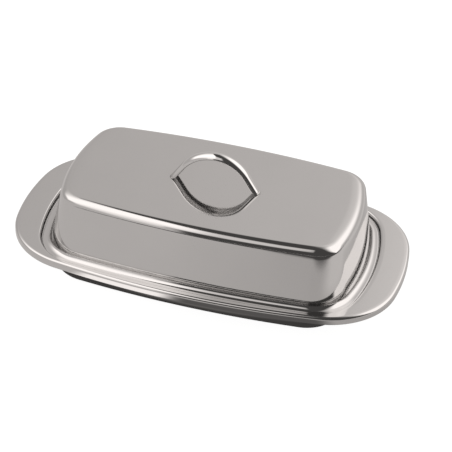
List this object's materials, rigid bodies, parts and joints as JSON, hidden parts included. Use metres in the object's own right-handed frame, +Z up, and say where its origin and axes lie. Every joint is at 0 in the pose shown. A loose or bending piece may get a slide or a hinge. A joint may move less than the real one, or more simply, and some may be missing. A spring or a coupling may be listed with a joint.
{
  "type": "butter dish",
  "caption": "Low covered dish for butter: a winged oblong tray, and a lift-off lid with flared walls and an arched strap handle.",
  "frame": {"origin": "under the middle of the tray, on the plane that the dish stands on", "axes": "+X along the dish and its handle, +Y across it, +Z up and the way the lid lifts off"},
  "size_m": [0.2, 0.112, 0.0629],
  "materials": {
    "satin_steel": "satin, machine polished",
    "bright_steel": "bright polished"
  },
  "bodies": {
    "base": {"tray": "satin_steel"},
    "cover": {"lid": "satin_steel", "handle": "bright_steel"}
  },
  "joints": [
    {"name": "lid_lift", "type": "slide", "parent": "base", "child": "cover", "axis": [0, 0, 1], "range_m": [0, 0.12]}
  ]
}
